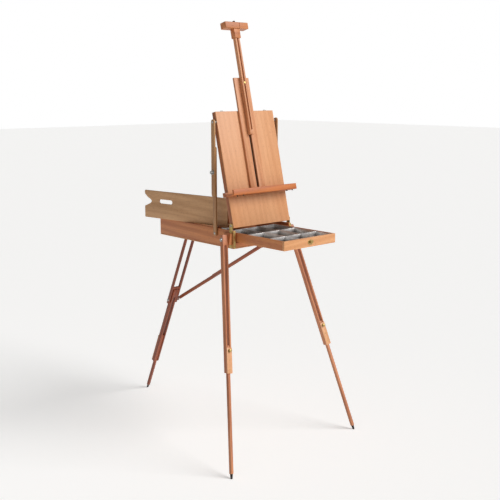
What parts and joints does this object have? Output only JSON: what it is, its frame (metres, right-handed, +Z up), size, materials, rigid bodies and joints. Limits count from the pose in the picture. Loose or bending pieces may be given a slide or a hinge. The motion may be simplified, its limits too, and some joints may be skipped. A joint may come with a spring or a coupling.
{
  "type": "artist easel",
  "caption": "Folding wooden sketch-box easel: open box on telescopic legs with a paint drawer, tilting lid, sliding canvas tray, mast and palette.",
  "frame": {"origin": "on the floor, at the middle of the standing easel's footprint box", "axes": "+X to the painter's right, +Y away from the painter, +Z up"},
  "size_m": [0.786, 1.2228, 1.896],
  "materials": {
    "oiled_beech": "oiled satin, reddish",
    "beech_ply": "oiled satin",
    "palette_ply": "sealed, dull",
    "zinc_steel": "zinc plated",
    "tin_liner": "bright sheet metal",
    "brass": "aged brass plate",
    "dark_steel": "blackened steel"
  },
  "bodies": {
    "box": {"box_bottom": "beech_ply", "box_side_left": "oiled_beech", "box_side_right": "oiled_beech", "box_back": "oiled_beech", "box_front_rail": "oiled_beech", "drawer_shelf": "beech_ply", "corner_strap_left": "brass", "corner_strap_right": "brass", "palette": "palette_ply", "leg_left_block": "oiled_beech", "leg_right_block": "oiled_beech", "rear_hinge_block": "oiled_beech", "brace_bracket": "oiled_beech", "leg_left_bolt": "zinc_steel", "leg_right_bolt": "zinc_steel"},
    "drawer": {"drawer_front": "oiled_beech", "drawer_side_left": "oiled_beech", "drawer_side_right": "oiled_beech", "drawer_back": "oiled_beech", "drawer_bottom": "beech_ply", "drawer_liner": "tin_liner", "drawer_catch": "brass"},
    "lid": {"lid_board": "beech_ply", "lid_rim_left": "oiled_beech", "lid_rim_right": "oiled_beech", "lid_rim_top": "oiled_beech", "lid_rim_bottom": "oiled_beech", "stay_pin_left": "zinc_steel", "stay_pin_right": "zinc_steel"},
    "tray": {"canvas_tray": "oiled_beech", "tray_cheek_left": "oiled_beech", "tray_cheek_right": "oiled_beech", "plank": "oiled_beech", "mast_bolt": "brass"},
    "mast": {"mast_bar": "oiled_beech", "mast_top_knob": "brass"},
    "head": {"head_block": "oiled_beech", "head_collar": "oiled_beech"},
    "fork": {"rear_fork": "oiled_beech", "fork_bolt": "zinc_steel"},
    "rear_leg": {"rear_leg_upper": "oiled_beech"},
    "rear_leg_lower": {"rear_leg_lower": "oiled_beech", "rear_leg_tip": "dark_steel"},
    "rear_leg_knob": {"rear_leg_knob": "zinc_steel"},
    "brace": {"brace_front": "oiled_beech"},
    "brace_slide": {"brace_rear": "oiled_beech"},
    "stay_left": {"stay_left_lower": "oiled_beech"},
    "stay_left_upper": {"stay_left_upper": "oiled_beech"},
    "stay_left_knob": {"stay_left_knob": "zinc_steel"},
    "leg_left": {"leg_left_upper": "oiled_beech"},
    "leg_left_lower": {"leg_left_lower": "oiled_beech", "leg_left_tip": "dark_steel"},
    "leg_left_knob": {"leg_left_knob": "zinc_steel"},
    "stay_right": {"stay_right_lower": "oiled_beech"},
    "stay_right_upper": {"stay_right_upper": "oiled_beech"},
    "stay_right_knob": {"stay_right_knob": "zinc_steel"},
    "leg_right": {"leg_right_upper": "oiled_beech"},
    "leg_right_lower": {"leg_right_lower": "oiled_beech", "leg_right_tip": "dark_steel"},
    "leg_right_knob": {"leg_right_knob": "zinc_steel"}
  },
  "joints": [
    {"name": "drawer_slide", "type": "slide", "parent": "box", "child": "drawer", "axis": [0, -1, 0], "range_m": [-0.2915, 0]},
    {"name": "lid_tilt", "type": "hinge", "parent": "box", "child": "lid", "pos_m": [0, -0.2922, 1.0179], "axis": [-1, 0, 0], "range_deg": [-10, 10]},
    {"name": "tray_slide", "type": "slide", "parent": "lid", "child": "tray", "axis": [0, 0.2317, 0.9728], "range_m": [-0.105, 0.015]},
    {"name": "mast_slide", "type": "slide", "parent": "tray", "child": "mast", "axis": [0, 0.2317, 0.9728], "range_m": [-0.1, 0.04]},
    {"name": "head_slide", "type": "slide", "parent": "mast", "child": "head", "axis": [0, 0.2317, 0.9728], "range_m": [-0.07, 0]},
    {"name": "stay_left_swing", "type": "hinge", "parent": "box", "child": "stay_left", "pos_m": [0, -0.1928, 0.974], "axis": [-1, 0, 0], "range_deg": [-10, 10]},
    {"name": "stay_left_extend", "type": "slide", "parent": "stay_left", "child": "stay_left_upper", "axis": [0, -0.0009, 1], "range_m": [-0.03, 0.03]},
    {"name": "stay_left_knob_turn", "type": "hinge", "parent": "stay_left_upper", "child": "stay_left_knob", "pos_m": [0, -0.19303, 1.243], "axis": [-1, 0, 0], "range_deg": [-180, 180]},
    {"name": "stay_right_swing", "type": "hinge", "parent": "box", "child": "stay_right", "pos_m": [0, -0.1928, 0.974], "axis": [-1, 0, 0], "range_deg": [-10, 10]},
    {"name": "stay_right_extend", "type": "slide", "parent": "stay_right", "child": "stay_right_upper", "axis": [0, -0.0009, 1], "range_m": [-0.03, 0.03]},
    {"name": "stay_right_knob_turn", "type": "hinge", "parent": "stay_right_upper", "child": "stay_right_knob", "pos_m": [0, -0.19303, 1.243], "axis": [1, 0, 0], "range_deg": [-180, 180]},
    {"name": "leg_left_fold", "type": "hinge", "parent": "box", "child": "leg_left", "pos_m": [-0.20638, -0.28111, 0.95808], "axis": [0.9824, 0, -0.1868], "range_deg": [0, 100]},
    {"name": "leg_left_extend", "type": "slide", "parent": "leg_left", "child": "leg_left_lower", "axis": [0.1809, 0.2504, 0.9511], "range_m": [0, 0.4]},
    {"name": "leg_left_knob_turn", "type": "hinge", "parent": "leg_left_lower", "child": "leg_left_knob", "pos_m": [-0.29236, -0.40011, 0.50599], "axis": [0.0468, -0.9682, 0.2459], "range_deg": [-180, 180]},
    {"name": "leg_right_fold", "type": "hinge", "parent": "box", "child": "leg_right", "pos_m": [0.20638, -0.28111, 0.95808], "axis": [0.9824, 0, 0.1868], "range_deg": [0, 100]},
    {"name": "leg_right_extend", "type": "slide", "parent": "leg_right", "child": "leg_right_lower", "axis": [-0.1809, 0.2504, 0.9511], "range_m": [0, 0.4]},
    {"name": "leg_right_knob_turn", "type": "hinge", "parent": "leg_right_lower", "child": "leg_right_knob", "pos_m": [0.29236, -0.40011, 0.50599], "axis": [-0.0468, -0.9682, 0.2459], "range_deg": [-180, 180]},
    {"name": "rear_fork_fold", "type": "hinge", "parent": "box", "child": "fork", "pos_m": [0, 0.2076, 0.896], "axis": [-1, 0, 0], "range_deg": [0, 110]},
    {"name": "rear_leg_fold", "type": "hinge", "parent": "fork", "child": "rear_leg", "pos_m": [0, 0.36639, 0.53979], "axis": [1, 0, 0], "range_deg": [0, 140]},
    {"name": "rear_leg_extend", "type": "slide", "parent": "rear_leg", "child": "rear_leg_lower", "axis": [0, -0.4071, 0.9134], "range_m": [0, 0.18]},
    {"name": "rear_leg_knob_turn", "type": "hinge", "parent": "rear_leg_lower", "child": "rear_leg_knob", "pos_m": [0, 0.46939, 0.30871], "axis": [0, 0.9134, 0.4071], "range_deg": [-180, 180]},
    {"name": "brace_fold", "type": "hinge", "parent": "box", "child": "brace", "pos_m": [0, -0.2699, 0.905], "axis": [1, 0, 0], "range_deg": [0, 30]},
    {"name": "brace_retract", "type": "slide", "parent": "brace", "child": "brace_slide", "axis": [0, -0.8673, 0.4978], "range_m": [0, 0.3]}
  ],
  "couplings": [
    {"joint": "stay_left_swing", "follows": "lid_tilt", "ratio": 0.91026},
    {"joint": "stay_left_extend", "follows": "lid_tilt", "m_per_rad": -0.09898},
    {"joint": "stay_right_swing", "follows": "lid_tilt", "ratio": 0.91026},
    {"joint": "stay_right_extend", "follows": "lid_tilt", "m_per_rad": -0.09898},
    {"joint": "brace_fold", "follows": "rear_fork_fold", "ratio": 0.27091},
    {"joint": "brace_retract", "follows": "rear_fork_fold", "m_per_rad": 0.15105}
  ]
}
